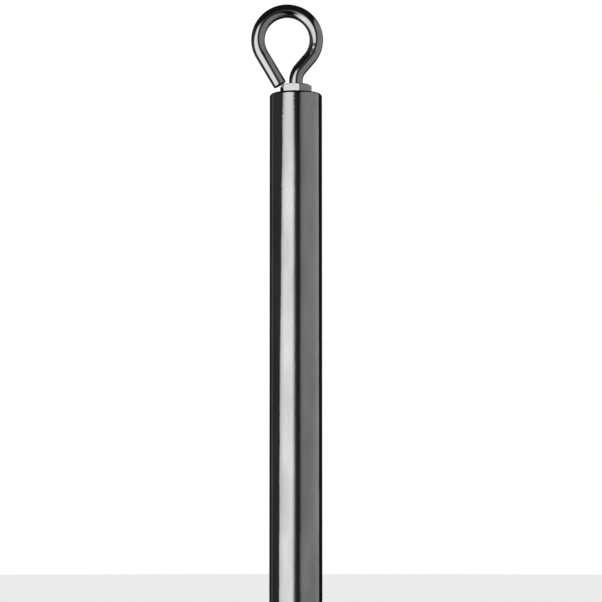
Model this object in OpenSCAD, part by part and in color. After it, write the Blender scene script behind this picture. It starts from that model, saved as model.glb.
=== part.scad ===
// Slim round rod with a bent wire eye screwed into its top and locked by a thin hexagon nut.
// Millimetres. The rod stands on the origin, its axis is Z and the eye lies in the XZ plane.

/* [Rod] */
// Outside diameter of the rod
rod_d = 10; // [8:0.5:16]
// Length of the rod, without the eye
rod_length = 200; // [60:5:600]
// Wall of the rod's tube
wall = 1; // [0.6:0.1:1.6]
// Radius that rounds the outer edge of both rims
rim_r = 0.5; // [0.1:0.1:1.2]

/* [Plugs] */
// Length of the tapped plug in the upper end
top_plug_l = 12; // [8:0.5:30]
// Length of the plain plug in the lower end
bottom_plug_l = 10; // [6:0.5:30]
// Width of the glue groove round each plug
groove_w = 2; // [1:0.5:3]
// Depth of the glue groove
groove_depth = 0.4; // [0.1:0.1:0.6]
// Chamfer on the edges of the plugs
plug_chamfer = 0.2; // [0.1:0.05:0.4]

/* [Thread] */
// Nominal diameter of the thread
thread_d = 3; // [2:0.1:4]
// Length of thread that the plug holds
thread_hold = 8; // [4:0.5:20]
// How far the rolled thread stands over the wire, on the diameter
thread_growth = 0.4; // [0.2:0.05:0.8]
// How far below the nut's top the thread runs out
runout_depth = 0.3; // [0.2:0.1:0.8]

/* [Lock nut] */
// Width of the nut across its flats
nut_af = 5.5; // [5:0.1:8]
// Height of the nut
nut_h = 1.8; // [1.2:0.1:3]
// Turn of the nut about the rod
nut_turn = 42; // [0:1:60]

/* [Eye] */
// Radius inside the eye's round
eye_inner_r = 4.3; // [3:0.1:12]
// Straight stem between the nut's top and the lower bend
stem_h = 0.8; // [0.5:0.1:4]
// Radius of the lower bend, to the middle of the wire
bend_r = 3.7; // [2.5:0.1:6]
// How far the lower bend leans the wire from upright, in degrees
lean = 40.5; // [30:0.5:50]
// Straight stretch between the lower bend and the round
lean_l = 2.6; // [0.5:0.1:6]
// How far the round turns, in degrees
round_sweep = 251; // [240:0.5:258]

/* [Fits] */
// Radial clearance of the thread in the nut and in the plug
thread_gap = 0.03; // [0.01:0.01:0.1]
// Radial squeeze of the pressed-in plugs
plug_squeeze = 0.01; // [0:0.005:0.03]
// Clearance between the eye's free end and the nut's edge
tail_gap = 0.27; // [0.15:0.01:1]

/* [Hidden] */
$fn = 96;

// Tube and plugs
tube_bore_r = rod_d / 2 - wall;
plug_r = tube_bore_r + plug_squeeze;
rim_share = 0.8; // of the wall that the rim's rounding may take
rim_round = min(rim_r, rim_share * wall);
groove_r = plug_r - groove_depth;

// Thread: the bore is nominal and the shank is smaller by the clearance
bore_r = thread_d / 2;
shank_r = bore_r - thread_gap;
wire_r = (thread_d - thread_growth) / 2;
mouth_chamfer = 0.3;
tip_chamfer = 0.5;
runout_l = shank_r - wire_r;

// Nut: its corners are turned down to a cone at each face
nut_corner_r = nut_af / 2 / cos(30);
nut_face_share = 0.95; // of the width across flats
nut_face_r = nut_face_share * nut_af / 2;
nut_slope = 30;
nut_fall = (nut_corner_r - nut_face_r) * tan(nut_slope);

// Eye: the bends' middles and ends in the XZ plane, measured from the middle of the rod's top
round_r = eye_inner_r + wire_r;
stem_top = nut_h + stem_h;
lean_dir = [sin(lean), cos(lean)];
bend_end = [bend_r * (1 - cos(lean)), stem_top + bend_r * sin(lean)];
round_start = bend_end + lean_l * lean_dir;
round_mid = round_start + round_r * [-cos(lean), sin(lean)];
tail_start = round_mid + round_r * [cos(round_sweep - lean), sin(round_sweep - lean)];
tail_dir = [-sin(round_sweep - lean), cos(round_sweep - lean)];
nut_edge = [-nut_corner_r, nut_h - nut_fall];
tail_l = (nut_edge - tail_start) * tail_dir - tail_gap;
tail_chamfer = 0.15;

// The wire is a little thicker where it is bent, and each straight stretch laps into its bends
bend_swell = 0.02;
bend_lap = 0.1;

// A turned piece with its lower face at z = 0 and a chamfer on every rim
module turned(r, h, c) {
    rotate_extrude()
        polygon([[0, 0], [r - c, 0], [r, c], [r, h - c], [r - c, h], [0, h]]);
}

// What a drill takes: a bore from z = 0 up to h, with a countersink at its top
module drilled(r, h, c) {
    over = 1;
    translate([0, 0, -over])
        cylinder(r = r, h = h + 2 * over);
    translate([0, 0, h - c])
        cylinder(r1 = r, r2 = r + c + over, h = c + over);
}

// A ring of material round a plug, taken away to leave its glue groove
module groove(z) {
    translate([0, 0, z - groove_w / 2])
        rotate_extrude()
            translate([groove_r, 0])
                square([2 * groove_depth, groove_w]);
}

// Half of the tube's outline, with both outer rims rounded
module tube_outline() {
    outer_r = rod_d / 2;
    difference() {
        translate([tube_bore_r, 0])
            square([wall, rod_length]);
        for (top = [0, 1])
            translate([outer_r - rim_round, top * rod_length + (1 - 2 * top) * rim_round])
                difference() {
                    translate([0, top * rim_round - rim_round])
                        square([rim_round, rim_round]);
                    circle(r = rim_round);
                }
    }
}

// A straight stretch of wire in the XZ plane, from a point along a direction. It starts a lap
// early, inside the bend before it, and its far end is chamfered or runs a lap into the next bend.
module straight_wire(from, dir, length, chamfer) {
    far = chamfer > 0 ? length : length + bend_lap;
    translate([from.x, 0, from.y])
        rotate([0, atan2(dir.x, dir.y), 0])
            rotate_extrude()
                polygon([
                    [0, -bend_lap],
                    [wire_r, -bend_lap],
                    [wire_r, far - chamfer],
                    [wire_r - chamfer, far],
                    [0, far]
                ]);
}

// A bent stretch of wire in the XZ plane, about a middle, from one angle through a sweep
module bent_wire(mid, radius, start, sweep) {
    translate([mid.x, 0, mid.y])
        rotate([90, 0, 0])
            rotate([0, 0, start])
                rotate_extrude(angle = sweep)
                    translate([radius, 0])
                        circle(r = wire_r + bend_swell);
}

module tube() {
    color("#56585b")
        rotate_extrude()
            tube_outline();
}

module top_plug() {
    color("#5e6063")
        translate([0, 0, rod_length - top_plug_l])
            difference() {
                turned(plug_r, top_plug_l, plug_chamfer);
                drilled(bore_r, top_plug_l, mouth_chamfer);
                groove(top_plug_l / 2);
            }
}

module bottom_plug() {
    color("#5e6063")
        difference() {
            turned(plug_r, bottom_plug_l, plug_chamfer);
            groove(bottom_plug_l / 2);
        }
}

module lock_nut() {
    clear = 0.2;
    reach = nut_corner_r + clear;
    drop = (reach - nut_face_r) * tan(nut_slope);
    color("#606265")
        translate([0, 0, rod_length])
            rotate([0, 0, nut_turn])
                difference() {
                    intersection() {
                        cylinder(r = nut_corner_r, h = nut_h, $fn = 6);
                        rotate_extrude()
                            polygon([
                                [0, 0],
                                [nut_face_r, 0],
                                [reach, drop],
                                [reach, nut_h - drop],
                                [nut_face_r, nut_h],
                                [0, nut_h]
                            ]);
                    }
                    drilled(bore_r, nut_h, mouth_chamfer);
                    mirror([0, 0, 1])
                        translate([0, 0, -nut_h])
                            drilled(bore_r, nut_h, mouth_chamfer);
                }
}

// The threaded end of the wire, from its chamfered tip up to where the thread runs out
module shank() {
    thread_top = nut_h - runout_depth;
    rotate_extrude()
        polygon([
            [0, -thread_hold],
            [shank_r - tip_chamfer, -thread_hold],
            [shank_r, tip_chamfer - thread_hold],
            [shank_r, thread_top - runout_l],
            [wire_r, thread_top],
            [wire_r, stem_top + bend_lap],
            [0, stem_top + bend_lap]
        ]);
}

module eye() {
    color("#4b4d50")
        translate([0, 0, rod_length]) {
            shank();
            bent_wire([bend_r, stem_top], bend_r, 180 - lean, lean);
            straight_wire(bend_end, lean_dir, lean_l, 0);
            bent_wire(round_mid, round_r, -lean, round_sweep);
            straight_wire(tail_start, tail_dir, tail_l, tail_chamfer);
        }
}

tube();
top_plug();
bottom_plug();
lock_nut();
eye();
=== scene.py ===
import math

import bpy
from mathutils import Matrix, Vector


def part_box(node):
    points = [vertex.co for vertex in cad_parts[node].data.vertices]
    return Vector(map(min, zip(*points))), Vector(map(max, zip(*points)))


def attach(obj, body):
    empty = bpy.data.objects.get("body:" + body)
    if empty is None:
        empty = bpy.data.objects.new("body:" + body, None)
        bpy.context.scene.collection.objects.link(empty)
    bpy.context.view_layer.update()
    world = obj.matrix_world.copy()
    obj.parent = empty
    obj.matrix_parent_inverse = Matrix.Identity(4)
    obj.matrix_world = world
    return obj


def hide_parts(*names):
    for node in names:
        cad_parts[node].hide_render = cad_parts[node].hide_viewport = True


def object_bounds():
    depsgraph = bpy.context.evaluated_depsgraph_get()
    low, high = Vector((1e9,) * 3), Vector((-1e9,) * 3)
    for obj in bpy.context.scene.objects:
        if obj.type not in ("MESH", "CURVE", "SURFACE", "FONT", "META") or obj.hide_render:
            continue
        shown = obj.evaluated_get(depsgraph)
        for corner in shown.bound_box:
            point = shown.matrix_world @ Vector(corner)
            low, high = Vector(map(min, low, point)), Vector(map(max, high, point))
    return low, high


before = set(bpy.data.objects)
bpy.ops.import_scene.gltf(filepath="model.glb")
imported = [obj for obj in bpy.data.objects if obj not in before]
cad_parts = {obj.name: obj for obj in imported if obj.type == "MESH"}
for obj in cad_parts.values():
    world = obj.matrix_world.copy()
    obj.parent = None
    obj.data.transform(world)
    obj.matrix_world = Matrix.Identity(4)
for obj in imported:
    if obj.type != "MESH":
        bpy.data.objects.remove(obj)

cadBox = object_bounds()
print("frame loaded")

# places and sizes that every piece shares, in millimetres, read off the frame
metre = 0.001  # pieces are modelled in millimetres and brought to metres at the end
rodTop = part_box("tube")[1].z / metre
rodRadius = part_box("tube")[1].x / metre
near = 0.01  # how close an edge lies to the place that it is picked by


def clearSelection():
    if bpy.context.object and bpy.context.object.mode != "OBJECT":
        bpy.ops.object.mode_set(mode="OBJECT")
    bpy.ops.object.select_all(action="DESELECT")


def only(piece):
    clearSelection()
    piece.select_set(True)
    bpy.context.view_layer.objects.active = piece


def edit(piece, kind="VERT", everything=False):
    only(piece)
    bpy.ops.object.mode_set(mode="EDIT")
    bpy.ops.mesh.select_mode(type=kind)
    bpy.ops.mesh.select_all(action="SELECT" if everything else "DESELECT")


def pickEdges(piece, wanted):
    # selects the edges whose middle passes the test
    edit(piece, "EDGE")
    bpy.ops.object.mode_set(mode="OBJECT")
    for edge in piece.data.edges:
        first, second = (piece.data.vertices[end].co for end in edge.vertices)
        edge.select = wanted((first + second) / 2)
    bpy.ops.object.mode_set(mode="EDIT")


def applied(piece, kind, **values):
    only(piece)
    modifier = piece.modifiers.new(kind.lower(), kind)
    for name, value in values.items():
        setattr(modifier, name, value)
    bpy.ops.object.modifier_apply(modifier=modifier.name)
    return piece


def volumeOf(piece):
    # above zero when the faces of a closed piece point outwards
    mesh = piece.data
    mesh.calc_loop_triangles()
    total = 0.0
    for triangle in mesh.loop_triangles:
        a, b, c = (mesh.vertices[corner].co for corner in triangle.vertices)
        total += a.dot(b.cross(c)) / 6
    return total


def cleaned(piece, gap=0.0003):
    # merges doubles and turns every face outwards
    edit(piece, everything=True)
    bpy.ops.mesh.remove_doubles(threshold=gap)
    bpy.ops.mesh.normals_make_consistent(inside=False)
    bpy.ops.object.mode_set(mode="OBJECT")
    if volumeOf(piece) < 0:
        edit(piece, everything=True)
        bpy.ops.mesh.flip_normals()
        bpy.ops.object.mode_set(mode="OBJECT")
    return piece


def carve(piece, tool, way):
    applied(piece, "BOOLEAN", object=tool, operation=way, solver="EXACT")
    bpy.data.objects.remove(tool)
    return piece


def drawOutline(name, outline):
    # a plane merged to one point, extruded along (radius, height) points in the XZ plane
    clearSelection()
    bpy.ops.mesh.primitive_plane_add(size=1, location=(0, 0, 0))
    piece = bpy.context.object
    piece.name = name
    bpy.ops.object.mode_set(mode="EDIT")
    bpy.ops.mesh.select_all(action="SELECT")
    bpy.ops.mesh.merge(type="CENTER")
    bpy.ops.mesh.select_all(action="SELECT")
    bpy.ops.transform.translate(value=(outline[0][0], 0, outline[0][1]))
    for before, after in zip(outline, outline[1:]):
        step = (after[0] - before[0], 0, after[1] - before[1])
        bpy.ops.mesh.extrude_vertices_move(TRANSFORM_OT_translate={"value": step})
    bpy.ops.object.mode_set(mode="OBJECT")
    return piece


def turned(name, outline, steps=192):
    # an outline spun right round the Z axis, as on a lathe
    piece = drawOutline(name, outline)
    edit(piece, everything=True)
    bpy.ops.mesh.spin(steps=steps, angle=2 * math.pi, center=(0, 0, 0), axis=(0, 0, 1))
    bpy.ops.object.mode_set(mode="OBJECT")
    return cleaned(piece)


# the thread that the eye, the nut and the plug share
thread = {
    "pitch": 0.5,
    "shankCrest": 1.47,
    "boreCrest": 1.5,
    "depth": 0.27,  # from crest to root
    "flankAngle": 30,
    "steps": 72,  # sides to a turn
    "trimSides": 48,
    "sinkSides": 96,
}


def threadBody(name, low, high, crest):
    # a solid screw, a turn or more longer than asked at each end, at the same helix everywhere
    pitch, depth = thread["pitch"], thread["depth"]
    flank = depth * math.tan(math.radians(thread["flankAngle"]))
    crestFlat = pitch / 8
    rootFlat = (pitch - crestFlat - 2 * flank) / 2
    first = (math.floor(low / pitch) - 2) * pitch
    turns = math.ceil((high - first) / pitch) + 2
    root = crest - depth
    outline = [
        (root, first),
        (root, first + rootFlat),
        (crest, first + rootFlat + flank),
        (crest, first + rootFlat + flank + crestFlat),
        (root, first + pitch - rootFlat),
        (root, first + pitch),
    ]
    piece = drawOutline(name, outline)
    applied(
        piece,
        "SCREW",
        axis="Z",
        angle=2 * math.pi,
        screw_offset=pitch,
        iterations=turns,
        steps=thread["steps"],
        render_steps=thread["steps"],
    )
    cleaned(piece)
    edit(piece, everything=True)
    bpy.ops.mesh.fill_holes(sides=0)
    bpy.ops.object.mode_set(mode="OBJECT")
    return cleaned(piece)


def finished(piece, name, body, node, material, sharp=30):
    # brings a piece to metres, smooths it and puts it on its body
    cleaned(piece, 0.0002)
    piece.data.transform(Matrix.Scale(metre, 4))
    only(piece)
    bpy.ops.object.shade_smooth_by_angle(angle=math.radians(sharp))
    piece.name = name
    piece.data.name = name
    piece.data.materials.clear()
    piece.data.materials.append(material)
    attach(piece, body)
    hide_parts(node)
    print("made", name, "with", len(piece.data.polygons), "faces")
    return piece


# the camera stands low in front of the rod and looks slightly up at its top
camera = {
    "place": (0.00098, -0.4215, 0.1203),
    "pitch": 5.42,  # degrees above level
    "lens": 133.4,
    "sensor": 36,
    "nearest": 0.01,
    "farthest": 20,
}
bpy.ops.object.camera_add(
    location=camera["place"], rotation=(math.radians(90 + camera["pitch"]), 0, 0)
)
viewer = bpy.context.object
viewer.name = "viewer"
viewer.data.lens = camera["lens"]
viewer.data.sensor_width = camera["sensor"]
viewer.data.clip_start = camera["nearest"]
viewer.data.clip_end = camera["farthest"]
bpy.context.scene.camera = viewer
bpy.context.scene.view_settings.view_transform = "Standard"
print("camera ready")


def newGroup(name, inputs, outputs):
    # an empty shader group with its named sockets
    group = bpy.data.node_groups.new(name, "ShaderNodeTree")
    for label, kind, value in inputs:
        socket = group.interface.new_socket(label, in_out="INPUT", socket_type="NodeSocket" + kind)
        if value is not None:
            socket.default_value = value
    for label, kind in outputs:
        group.interface.new_socket(label, in_out="OUTPUT", socket_type="NodeSocket" + kind)
    entry = group.nodes.new("NodeGroupInput")
    leave = group.nodes.new("NodeGroupOutput")
    return group, entry.outputs, leave.inputs


def add(tree, kind, values=None, **settings):
    # adds a node; values fill its inputs, each with a number or a link from another node
    node = tree.nodes.new("ShaderNode" + kind)
    for name, value in settings.items():
        setattr(node, name, value)
    for name, value in (values or {}).items():
        if isinstance(value, bpy.types.NodeSocket):
            tree.links.new(value, node.inputs[name])
        else:
            node.inputs[name].default_value = value
    return node


def work(tree, operation, *values):
    # a Math node, giving its result
    return add(tree, "Math", dict(enumerate(values)), operation=operation).outputs[0]


def ramped(tree, value, start, end, low=0.0, high=1.0):
    # a smooth step from low to high as value goes from start to end
    inputs = {"Value": value, "From Min": start, "From Max": end, "To Min": low, "To Max": high}
    return add(tree, "MapRange", inputs, interpolation_type="SMOOTHSTEP").outputs["Result"]


def useGroup(tree, group, **values):
    node = tree.nodes.new("ShaderNodeGroup")
    node.node_tree = group
    for name, value in values.items():
        socket = node.inputs[name]
        if isinstance(value, bpy.types.NodeSocket):
            tree.links.new(value, socket)
        else:
            socket.default_value = value
    return node.outputs


# the studio: soft panels round the object, given by the directions that they fill
# azimuth 0 is towards the viewer and negative to the viewer's left, in degrees
# each side fades over its Soft on both sides of its edge
# FootSlant moves the sides to the left below the horizon
# Lid and Corner end a panel above: under one, height < Front * towards + Side * sideways
softPanel = {
    "Left": -400.0, "LeftSoft": 1.0, "Right": 400.0, "RightSoft": 1.0, "FootSlant": 0.0,
    "Low": 0.0, "LowSoft": 1.0, "LidFront": 0.0, "LidSide": 0.0,
    "CornerFront": 9.0, "CornerSide": 9.0, "LidSoft": 1.0, "Level": 0.0,
}
panels = {
    "keyLeft": dict(
        softPanel, Left=-75.0, LeftSoft=3.5, Right=-7.5, RightSoft=9.0, FootSlant=0.42,
        Low=-54.0, LowSoft=10.0, LidFront=0.75, LidSide=-0.15,
        CornerFront=0.2, CornerSide=0.6, LidSoft=3.0, Level=1.25,
    ),
    "keyCore": dict(
        softPanel, Left=-60.0, LeftSoft=13.0, Right=-14.0, RightSoft=8.0, FootSlant=0.42,
        Low=-40.0, LowSoft=14.0, LidFront=0.6, LidSide=-0.2,
        CornerFront=0.2, CornerSide=0.6, LidSoft=5.0, Level=0.36,
    ),
    "fillRight": dict(
        softPanel, Left=20.5, LeftSoft=8.0, Right=121.0, RightSoft=2.5, FootSlant=0.25,
        Low=-75.0, LowSoft=35.0, LidSide=1.02, LidSoft=1.5, Level=0.31,
    ),
    "fillCore": dict(
        softPanel, Left=32.0, LeftSoft=8.0, Right=121.0, RightSoft=2.5, FootSlant=0.25,
        Low=-30.0, LowSoft=25.0, LidSide=0.8, LidSoft=6.0, Level=0.05,
    ),
    "edgeRight": dict(
        softPanel, Left=96.0, LeftSoft=16.0, Right=121.0, RightSoft=2.0,
        Low=-20.0, LowSoft=10.0, LidSide=0.7, LidSoft=5.0, Level=0.1,
    ),
    "farLeft": dict(
        softPanel, Left=-142.0, LeftSoft=4.0, Right=-116.0, RightSoft=8.0,
        Low=-30.0, LowSoft=15.0, LidSide=0.7, LidSoft=8.0, Level=0.1,
    ),
    "besideLeft": dict(
        softPanel, Left=-110.0, LeftSoft=10.0, Right=-66.0, RightSoft=6.0,
        Low=-20.0, LowSoft=10.0, LidSide=0.55, LidSoft=8.0, Level=0.04,
    ),
    "frontGlow": dict(
        softPanel, Left=-20.0, LeftSoft=8.0, Right=8.0, RightSoft=10.0,
        Low=-10.0, LowSoft=8.0, LidFront=0.27, LidSoft=4.0, Level=0.05,
    ),
    "behindRight": dict(
        softPanel, Left=176.0, LeftSoft=3.0, Low=-28.0, LowSoft=5.0,
        LidFront=-0.12, CornerFront=-9.0, LidSoft=4.0, Level=0.55,
    ),
    "behindLeft": dict(
        softPanel, Right=-164.0, RightSoft=5.0, Low=-28.0, LowSoft=5.0,
        LidFront=-0.12, CornerFront=-9.0, LidSoft=4.0, Level=0.55,
    ),
}
studio = {
    "glossBase": 0.012,  # what polished metal mirrors between the panels
    "diffuse": 1.0,
    "backdrop": 1.0,
    "floorRadius": 4.0,
    "floorSides": 96,
    "floorGap": 0.00005,  # between the rod's end and the floor
    "floorGrain": 900.0,
    "floorDark": (0.86, 0.86, 0.86, 1),
    "floorPale": (0.9, 0.9, 0.9, 1),
    "floorRoughness": 0.9,
}


def underLid(tree, axes, front, side, soft):
    # 1 under a lid's plane, 0 over it
    towards, sideways, height = axes
    reach = work(tree, "MULTIPLY_ADD", towards, front, work(tree, "MULTIPLY", sideways, side))
    slant = work(tree, "MULTIPLY_ADD", front, front, work(tree, "MULTIPLY_ADD", side, side, 1.0))
    gap = work(tree, "DIVIDE", work(tree, "SUBTRACT", reach, height), work(tree, "SQRT", slant))
    degrees = work(tree, "DEGREES", gap)
    return ramped(tree, degrees, work(tree, "MULTIPLY", soft, -1.0), soft)


def buildPanelGroup():
    names = ["Azimuth", "Elevation", "Towards", "Sideways", "Height", *softPanel]
    inputs = [(name, "Float", 0.0) for name in names]
    group, given, result = newGroup("studioPanel", inputs, [("Light", "Float")])
    drop = work(group, "MAXIMUM", work(group, "MULTIPLY", given["Elevation"], -1.0), 0.0)
    slanted = work(group, "MULTIPLY_ADD", drop, given["FootSlant"], given["Azimuth"])
    light = given["Level"]
    for value, edge, soft, inner in (
        (slanted, given["Left"], given["LeftSoft"], 1.0),
        (slanted, given["Right"], given["RightSoft"], 0.0),
        (given["Elevation"], given["Low"], given["LowSoft"], 1.0),
    ):
        before = work(group, "SUBTRACT", edge, soft)
        after = work(group, "ADD", edge, soft)
        inside = ramped(group, value, before, after, 1.0 - inner, inner)
        light = work(group, "MULTIPLY", light, inside)
    axes = (given["Towards"], given["Sideways"], given["Height"])
    for lid in ("Lid", "Corner"):
        cover = underLid(group, axes, given[lid + "Front"], given[lid + "Side"], given["LidSoft"])
        light = work(group, "MULTIPLY", light, cover)
    group.links.new(light, result["Light"])
    return group


def buildWorld():
    world = bpy.data.worlds.new("studio")
    bpy.context.scene.world = world
    world.use_nodes = True
    tree = world.node_tree
    tree.nodes.clear()
    ray = add(tree, "TexCoord").outputs["Generated"]
    axes = add(tree, "SeparateXYZ", {"Vector": ray}).outputs
    towards = work(tree, "MULTIPLY", axes["Y"], -1.0)
    ways = {
        "Azimuth": work(tree, "DEGREES", work(tree, "ARCTAN2", axes["X"], towards)),
        "Elevation": work(tree, "DEGREES", work(tree, "ARCSINE", axes["Z"])),
        "Towards": towards,
        "Sideways": work(tree, "ABSOLUTE", axes["X"]),
        "Height": axes["Z"],
    }
    panelGroup = buildPanelGroup()
    light = studio["glossBase"]
    for panel in panels.values():
        shine = useGroup(tree, panelGroup, **ways, **panel)["Light"]
        light = work(tree, "ADD", shine, light)
    path = add(tree, "LightPath").outputs
    mirrored, soft, plain = (
        add(tree, "Background", {"Color": (1, 1, 1, 1), "Strength": strength}).outputs[0]
        for strength in (light, studio["diffuse"], studio["backdrop"])
    )
    indirect = add(tree, "MixShader", {0: path["Is Glossy Ray"], 1: soft, 2: mirrored}).outputs[0]
    seen = add(tree, "MixShader", {0: path["Is Camera Ray"], 1: indirect, 2: plain}).outputs[0]
    add(tree, "OutputWorld", {"Surface": seen})


buildWorld()
print("studio ready")


def newMaterial(name):
    material = bpy.data.materials.new(name)
    material.use_nodes = True
    tree = material.node_tree
    tree.nodes.clear()
    shader = add(tree, "BsdfPrincipled")
    add(tree, "OutputMaterial", {"Surface": shader.outputs[0]})
    return material, tree, shader.inputs


def mixed(tree, share, first, second):
    # a colour between two, each a colour or a link
    return add(tree, "Mix", {0: share, 6: first, 7: second}, data_type="RGBA").outputs[2]


def buildFloor():
    clearSelection()
    bpy.ops.mesh.primitive_circle_add(
        vertices=studio["floorSides"], radius=studio["floorRadius"], fill_type="NGON"
    )
    floor = bpy.context.object
    floor.name = "studioFloor"
    floor.location.z = min(0.0, cadBox[0].z) - studio["floorGap"]
    floor.visible_glossy = False
    material, tree, shader = newMaterial("paleFloor")
    place = add(tree, "TexCoord").outputs["Object"]
    grain = add(tree, "TexNoise", {"Vector": place, "Scale": studio["floorGrain"], "Detail": 4.0})
    shade = mixed(tree, grain.outputs["Fac"], studio["floorDark"], studio["floorPale"])
    tree.links.new(shade, shader["Base Color"])
    shader["Roughness"].default_value = studio["floorRoughness"]
    floor.data.materials.append(material)


buildFloor()
print("floor ready")


# finishes: what polished metal shows close up, as groups that every material places
def buildPolishGroup():
    # fine rings left by turning and polishing, and faint crossing hairlines
    inputs = [
        ("Place", "Vector", None),
        ("RingScale", "Float", 900.0),
        ("LineScale", "Float", 2600.0),
        ("Stretch", "Float", 0.02),
    ]
    group, given, result = newGroup("polishMarks", inputs, [("Rings", "Float"), ("Lines", "Float")])
    across = work(group, "MULTIPLY", given["RingScale"], given["Stretch"])
    ringSize = add(group, "CombineXYZ", {"X": across, "Y": across, "Z": given["RingScale"]}).outputs[0]
    ringPlace = add(group, "VectorMath", {0: given["Place"], 1: ringSize}, operation="MULTIPLY").outputs[0]
    rings = add(group, "TexNoise", {"Vector": ringPlace, "Scale": 1.0, "Detail": 2.0}).outputs["Fac"]
    along = work(group, "MULTIPLY", given["LineScale"], given["Stretch"])
    line = given["LineScale"]
    lineSize = add(group, "CombineXYZ", {"X": line, "Y": line, "Z": along}).outputs[0]
    linePlace = add(group, "VectorMath", {0: given["Place"], 1: lineSize}, operation="MULTIPLY").outputs[0]
    lines = add(group, "TexNoise", {"Vector": linePlace, "Scale": 1.0, "Detail": 3.0}).outputs["Fac"]
    group.links.new(rings, result["Rings"])
    group.links.new(lines, result["Lines"])
    return group


def buildFilmGroup():
    # cloudy patches of a thin handling film, drawn out along the rod, and a few small specks
    inputs = [
        ("Place", "Vector", None),
        ("CloudScale", "Float", 180.0),
        ("CloudStretch", "Float", 0.3),
        ("CloudFrom", "Float", 0.35),
        ("CloudTo", "Float", 0.65),
        ("SpeckScale", "Float", 420.0),
        ("SpeckSize", "Float", 0.05),
        ("SpeckShare", "Float", 0.03),
    ]
    group, given, result = newGroup("handlingFilm", inputs, [("Clouds", "Float"), ("Specks", "Float")])
    drawn = add(group, "CombineXYZ", {"X": 1.0, "Y": 1.0, "Z": given["CloudStretch"]}).outputs[0]
    cloudPlace = add(group, "VectorMath", {0: given["Place"], 1: drawn}, operation="MULTIPLY").outputs[0]
    cloud = add(group, "TexNoise", {"Vector": cloudPlace, "Scale": given["CloudScale"], "Detail": 4.0})
    clouds = ramped(group, cloud.outputs["Fac"], given["CloudFrom"], given["CloudTo"])
    cells = add(group, "TexVoronoi", {"Vector": given["Place"], "Scale": given["SpeckScale"]})
    pick = add(group, "SeparateXYZ", {0: cells.outputs["Color"]}).outputs[0]
    chosen = work(group, "LESS_THAN", pick, given["SpeckShare"])
    half = work(group, "MULTIPLY", given["SpeckSize"], 0.5)
    inSpeck = ramped(group, cells.outputs["Distance"], half, given["SpeckSize"], 1.0, 0.0)
    group.links.new(clouds, result["Clouds"])
    group.links.new(work(group, "MULTIPLY", chosen, inSpeck), result["Specks"])
    return group


def buildDentGroup():
    # small shallow dents from handling, in patches, from one height up to another
    inputs = [
        ("Place", "Vector", None),
        ("DentScale", "Float", 1600.0),
        ("PatchScale", "Float", 160.0),
        ("PatchFrom", "Float", 0.5),
        ("PatchFade", "Float", 0.12),
        ("Start", "Float", -1.0),
        ("Full", "Float", -0.9),
    ]
    group, given, result = newGroup("handlingDents", inputs, [("Dents", "Float")])
    small = add(group, "TexNoise", {"Vector": given["Place"], "Scale": given["DentScale"], "Detail": 1.0})
    patch = add(group, "TexNoise", {"Vector": given["Place"], "Scale": given["PatchScale"], "Detail": 1.0})
    after = work(group, "ADD", given["PatchFrom"], given["PatchFade"])
    patches = ramped(group, patch.outputs["Fac"], given["PatchFrom"], after)
    height = add(group, "SeparateXYZ", {0: given["Place"]}).outputs["Z"]
    zone = ramped(group, height, given["Start"], given["Full"])
    dents = work(group, "MULTIPLY", work(group, "SUBTRACT", small.outputs["Fac"], 0.5), patches)
    group.links.new(work(group, "MULTIPLY", dents, zone), result["Dents"])
    return group


polishGroup = buildPolishGroup()
filmGroup = buildFilmGroup()
dentGroup = buildDentGroup()


def polishedMetal(name, look):
    # dark polished metal: colour, roughness and bump all vary over the surface, heights in millimetres
    material, tree, shader = newMaterial(name)
    place = add(tree, "TexCoord").outputs["Object"]
    marks = useGroup(
        tree, polishGroup, Place=place, RingScale=look["ringScale"], LineScale=look["lineScale"]
    )
    film = useGroup(
        tree, filmGroup, Place=place, CloudScale=look["cloudScale"], CloudStretch=look["cloudStretch"]
    )
    dents = useGroup(
        tree, dentGroup, Place=place, DentScale=look["dentScale"], PatchFrom=look["dentPatches"],
        Start=look["dentStart"], Full=look["dentFull"],
    )["Dents"]
    # dark dirt specks, joined below by the eye's tool marks, whose near-black colour is a painted dark
    # reflection
    specksAndPaintedReflection = film["Specks"]
    # each tool mark is rougher and bumped, a real mark, and painted near-black as a painted dark
    # reflection on its bend
    for spot, size in look["toolMarksWithPaintedReflection"]:
        away = add(tree, "VectorMath", {0: place, 1: spot}, operation="DISTANCE").outputs["Value"]
        toolMarkWithPaintedReflection = ramped(tree, away, size / 2, size, 1.0, 0.0)
        specksAndPaintedReflection = work(tree, "MAXIMUM", specksAndPaintedReflection, toolMarkWithPaintedReflection)
    tint = mixed(tree, film["Clouds"], look["colour"], look["filmColour"])
    # the specks and the tool marks take the near-black colour: real dirt on the specks, painted dark
    # reflection on the tool marks
    tree.links.new(mixed(tree, specksAndPaintedReflection, tint, look["speckAndPaintedReflectionColour"]), shader["Base Color"])
    shader["Metallic"].default_value = 1.0
    rough = work(tree, "MULTIPLY_ADD", film["Clouds"], look["filmRoughness"], look["roughness"])
    rough = work(tree, "MULTIPLY_ADD", marks["Lines"], look["lineRoughness"], rough)
    rough = work(tree, "MULTIPLY_ADD", specksAndPaintedReflection, look["speckRoughness"], rough)
    tree.links.new(rough, shader["Roughness"])
    height = work(tree, "MULTIPLY", marks["Lines"], look["lineHeight"])
    height = work(tree, "MULTIPLY_ADD", marks["Rings"], look["ringHeight"], height)
    height = work(tree, "MULTIPLY_ADD", dents, look["dentHeight"], height)
    height = work(tree, "MULTIPLY_ADD", film["Clouds"], look["waveHeight"], height)
    height = work(tree, "MULTIPLY_ADD", specksAndPaintedReflection, look["speckHeight"], height)
    bump = add(tree, "Bump", {"Strength": 1.0, "Distance": metre, "Height": height})
    tree.links.new(bump.outputs["Normal"], shader["Normal"])
    return material


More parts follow.
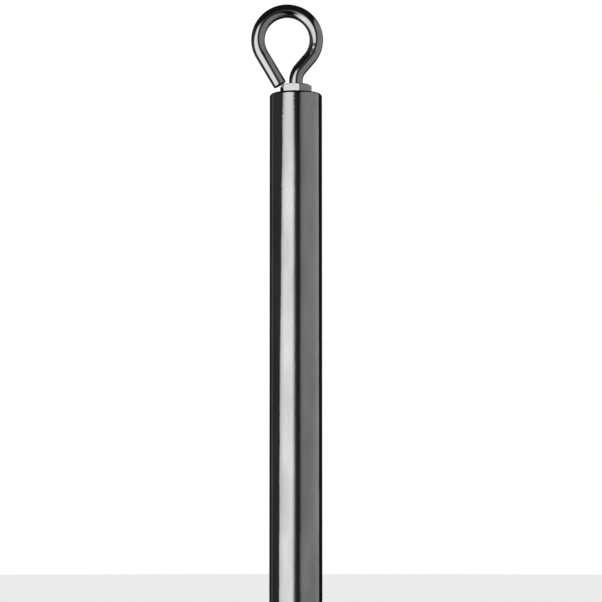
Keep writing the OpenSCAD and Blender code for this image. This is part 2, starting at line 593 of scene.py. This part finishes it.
plainLook = {
    "colour": (0.455, 0.455, 0.46, 1),
    "filmColour": (0.415, 0.415, 0.42, 1),
    # near-black for the dirt specks, also used as painted dark reflection on the tool marks
    "speckAndPaintedReflectionColour": (0.12, 0.12, 0.12, 1),
    "roughness": 0.05,
    "filmRoughness": 0.015,
    "lineRoughness": 0.02,
    "speckRoughness": 0.3,
    "ringScale": 900.0,
    "lineScale": 2600.0,
    "cloudScale": 220.0,
    "cloudStretch": 0.25,
    "dentScale": 1600.0,
    "dentPatches": 0.5,
    "dentStart": -1.0,
    "dentFull": -0.9,
    "dentHeight": 0.0015,
    "lineHeight": 0.0003,
    "ringHeight": 0.0006,
    "waveHeight": 0.0,
    "speckHeight": 0.004,
    # tool marks painted near-black as a painted dark reflection
    "toolMarksWithPaintedReflection": [],  # the place and size of each, in metres
}
rodLook = dict(
    plainLook,
    colour=(0.468, 0.468, 0.473, 1),
    filmColour=(0.375, 0.375, 0.38, 1),
    waveHeight=0.012,
    dentStart=(rodTop - 45) * metre,
    dentFull=(rodTop - 8) * metre,
    dentHeight=0.009,
    dentPatches=0.46,
)
plugLook = dict(plainLook, roughness=0.14, ringHeight=0.004, ringScale=2400.0)
nutLook = dict(plainLook, ringScale=1500.0, cloudScale=600.0, cloudStretch=1.0, dentHeight=0.001)
eyeLook = dict(
    plainLook,
    ringScale=600.0,
    cloudScale=400.0,
    cloudStretch=1.0,
    dentHeight=0.003,
    # two tool marks on the eye's bend, rougher and bumped, and painted near-black as a painted dark
    # reflection
    toolMarksWithPaintedReflection=[((0.00350, -0.00128, 0.20945), 0.00045), ((0.00322, -0.00125, 0.20815), 0.0007)],
)
rodMetal = polishedMetal("rodPolish", rodLook)
plugMetal = polishedMetal("plugTurned", plugLook)
nutMetal = polishedMetal("nutPolish", nutLook)
eyeMetal = polishedMetal("eyePolish", eyeLook)
print("finishes ready")


# rod: a polished tube with rounded outer rims
rod = {
    "sides": 256,
    "wall": 1.0,
    "rimRadius": 0.5,
    "rimSteps": 10,
    "boreChamfer": 0.08,
    "boreChamferSteps": 2,
}


def buildRodTube():
    clearSelection()
    bpy.ops.mesh.primitive_cylinder_add(
        vertices=rod["sides"],
        radius=rodRadius,
        depth=rodTop,
        end_fill_type="NOTHING",
        location=(0, 0, rodTop / 2),
    )
    tube = bpy.context.object
    bpy.ops.object.transform_apply(location=True, rotation=True, scale=True)
    cleaned(tube)
    applied(tube, "SOLIDIFY", thickness=rod["wall"], offset=-1.0, use_even_offset=True)
    bore = rodRadius - rod["wall"]
    for radius, width, steps in (
        (bore, rod["boreChamfer"], rod["boreChamferSteps"]),
        (rodRadius, rod["rimRadius"], rod["rimSteps"]),
    ):

        def onRim(spot):
            atEnd = min(abs(spot.z), abs(spot.z - rodTop)) < near
            return atEnd and abs(math.hypot(spot.x, spot.y) - radius) < near

        pickEdges(tube, onRim)
        bpy.ops.mesh.bevel(offset=width, segments=steps, profile=0.5, affect="EDGES")
        bpy.ops.object.mode_set(mode="OBJECT")
    return finished(tube, "rodTube", "rod", "tube", rodMetal)


buildRodTube()

# plugs: pressed and glued into the ends of the tube
plug = {
    "radius": 4.01,
    "upperLength": 12.0,
    "lowerLength": 10.0,
    "chamfer": 0.2,
    "grooveWidth": 2.0,
    "grooveDepth": 0.4,
    "grooveRound": 0.1,
    "mouthChamfer": 0.3,
    "sides": 128,
}


def plugOutline(low, high):
    # half of a plug's outline, from the middle of its lower face round to the middle of its upper one
    radius, edge = plug["radius"], plug["chamfer"]
    middle = (low + high) / 2
    reach = plug["grooveWidth"] / 2
    floorRadius = radius - plug["grooveDepth"]
    soft = plug["grooveRound"]
    return [
        (0, low),
        (radius - edge, low),
        (radius, low + edge),
        (radius, middle - reach - soft),
        (radius - soft, middle - reach),
        (floorRadius, middle - reach),
        (floorRadius, middle + reach),
        (radius - soft, middle + reach),
        (radius, middle + reach + soft),
        (radius, high - edge),
        (radius - edge, high),
        (0, high),
    ]


def lifted(piece):
    # moves a piece from the origin up to the rod's top, into its mesh
    piece.location.z = rodTop
    only(piece)
    bpy.ops.object.transform_apply(location=True, rotation=True, scale=True)
    return piece


def tapped(piece, low, high):
    # cuts the helical thread between two heights over the rod's top, and a countersink at each
    over = thread["pitch"]
    outside = thread["boreCrest"] + over
    tap = threadBody("tap", low - over, high + over, thread["boreCrest"])
    cut = [(0, low - over), (outside, low - over), (outside, high + over), (0, high + over)]
    carve(tap, turned("cut", cut, thread["trimSides"]), "INTERSECT")
    carve(piece, lifted(tap), "DIFFERENCE")
    wide = thread["boreCrest"] + plug["mouthChamfer"]
    for end, way in ((low, -1), (high, 1)):
        sink = [(0, end + way * over), (wide + over, end + way * over), (0, end - way * wide)]
        carve(piece, lifted(turned("sink", sink, thread["sinkSides"])), "DIFFERENCE")
    return piece


def buildPlugs():
    lower = turned("lower", plugOutline(0, plug["lowerLength"]), plug["sides"])
    finished(lower, "lowerPlug", "rod", "bottom_plug", plugMetal)
    upper = turned("upper", plugOutline(rodTop - plug["upperLength"], rodTop), plug["sides"])
    tapped(upper, -plug["upperLength"], 0)
    finished(upper, "upperPlug", "rod", "top_plug", plugMetal)


buildPlugs()

# lock nut: a thin hexagon nut with turned corners
nut = {
    "acrossFlats": 5.5,
    "height": 1.8,
    "turn": 42.0,
    "faceShare": 0.95,
    "slope": 30.0,
    "edgeRound": 0.06,
    "edgeSteps": 4,
    "clear": 0.3,  # how far the cone that turns the corners down reaches past them
}


def buildLockNut():
    corner = nut["acrossFlats"] / 2 / math.cos(math.radians(30))
    clearSelection()
    bpy.ops.mesh.primitive_cylinder_add(
        vertices=6,
        radius=corner,
        depth=nut["height"],
        location=(0, 0, rodTop + nut["height"] / 2),
        rotation=(0, 0, math.radians(nut["turn"] - 30)),
    )
    body = bpy.context.object
    bpy.ops.object.transform_apply(location=True, rotation=True, scale=True)
    halfway = rodTop + nut["height"] / 2
    pickEdges(body, lambda spot: abs(spot.z - halfway) < near)
    bpy.ops.mesh.bevel(offset=nut["edgeRound"], segments=nut["edgeSteps"], profile=0.5, affect="EDGES")
    bpy.ops.object.mode_set(mode="OBJECT")
    face = nut["faceShare"] * nut["acrossFlats"] / 2
    reach = corner + nut["clear"]
    fall = (reach - face) * math.tan(math.radians(nut["slope"]))
    high = nut["height"]
    cone = [(0, 0), (face, 0), (reach, fall), (reach, high - fall), (face, high), (0, high)]
    carve(body, lifted(turned("cone", cone)), "INTERSECT")
    tapped(body, 0, high)
    return finished(body, "lockNut", "nut", "lock_nut", nutMetal, 20)


buildLockNut()

# wire eye: one bent wire with a threaded lower end
eye = {
    "wireRadius": 1.3,
    "wireSides": 64,
    "innerRadius": 4.3,
    "stemTop": 2.6,
    "bendRadius": 3.7,
    "lean": 40.5,
    "leanLength": 2.6,
    "sweep": 251.0,
    "tailLength": 6.85,
    "tipRound": 0.12,
    "tipSteps": 4,
    "threadHold": 8.0,
    "threadTop": 1.5,
    "runoutFrom": 1.23,
    "runoutTo": 1.6,
    "runoutRadius": 1.2,
    "tipChamfer": 0.5,
    "clear": 0.1,
    "wireStart": 1.2,  # the plain wire begins inside the nut, where the thread runs out
    "bendSteps": 14,
    "roundSteps": 110,
}


def buildWire():
    lean = math.radians(eye["lean"])
    sweep = math.radians(eye["sweep"])
    bend, length = eye["bendRadius"], eye["leanLength"]
    circle = eye["innerRadius"] + eye["wireRadius"]
    leanWay = (math.sin(lean), 0, math.cos(lean))
    bendMiddle = (bend, 0, rodTop + eye["stemTop"])
    startX = bend - bend * math.cos(lean) + length * leanWay[0]
    startZ = bendMiddle[2] + bend * math.sin(lean) + length * leanWay[2]
    roundMiddle = (startX - circle * math.cos(lean), 0, startZ + circle * math.sin(lean))
    tailTurn = sweep - lean
    tailWay = (-math.sin(tailTurn), 0, math.cos(tailTurn))
    clearSelection()
    bpy.ops.mesh.primitive_circle_add(
        vertices=eye["wireSides"],
        radius=eye["wireRadius"],
        fill_type="NGON",
        location=(0, 0, rodTop + eye["wireStart"]),
    )
    wire = bpy.context.object
    bpy.ops.object.transform_apply(location=True, rotation=True, scale=True)
    edit(wire, "FACE", everything=True)
    step = (0, 0, eye["stemTop"] - eye["wireStart"])
    bpy.ops.mesh.extrude_region_move(TRANSFORM_OT_translate={"value": step})
    bpy.ops.mesh.spin(steps=eye["bendSteps"], angle=-lean, center=bendMiddle, axis=(0, 1, 0))
    step = tuple(length * way for way in leanWay)
    bpy.ops.mesh.extrude_region_move(TRANSFORM_OT_translate={"value": step})
    bpy.ops.mesh.spin(steps=eye["roundSteps"], angle=sweep, center=roundMiddle, axis=(0, 1, 0))
    step = tuple(eye["tailLength"] * way for way in tailWay)
    bpy.ops.mesh.extrude_region_move(TRANSFORM_OT_translate={"value": step})
    bpy.ops.mesh.bevel(offset=eye["tipRound"], segments=eye["tipSteps"], profile=0.5, affect="EDGES")
    bpy.ops.object.mode_set(mode="OBJECT")
    return cleaned(wire)


def buildWireEye():
    wire = buildWire()
    crest, hold = thread["shankCrest"], eye["threadHold"]
    shank = threadBody("shank", -hold, eye["threadTop"], crest)
    tip, clear = eye["tipChamfer"], eye["clear"]
    outline = [
        (0, -hold),
        (crest - tip, -hold),
        (crest + clear, clear + tip - hold),
        (crest + clear, eye["runoutFrom"]),
        (eye["runoutRadius"], eye["runoutTo"]),
        (0, eye["runoutTo"]),
    ]
    carve(shank, turned("envelope", outline, thread["sinkSides"]), "INTERSECT")
    lifted(shank)
    carve(wire, shank, "UNION")
    return finished(wire, "wireEye", "eye", "eye", eyeMetal, 24)


buildWireEye()
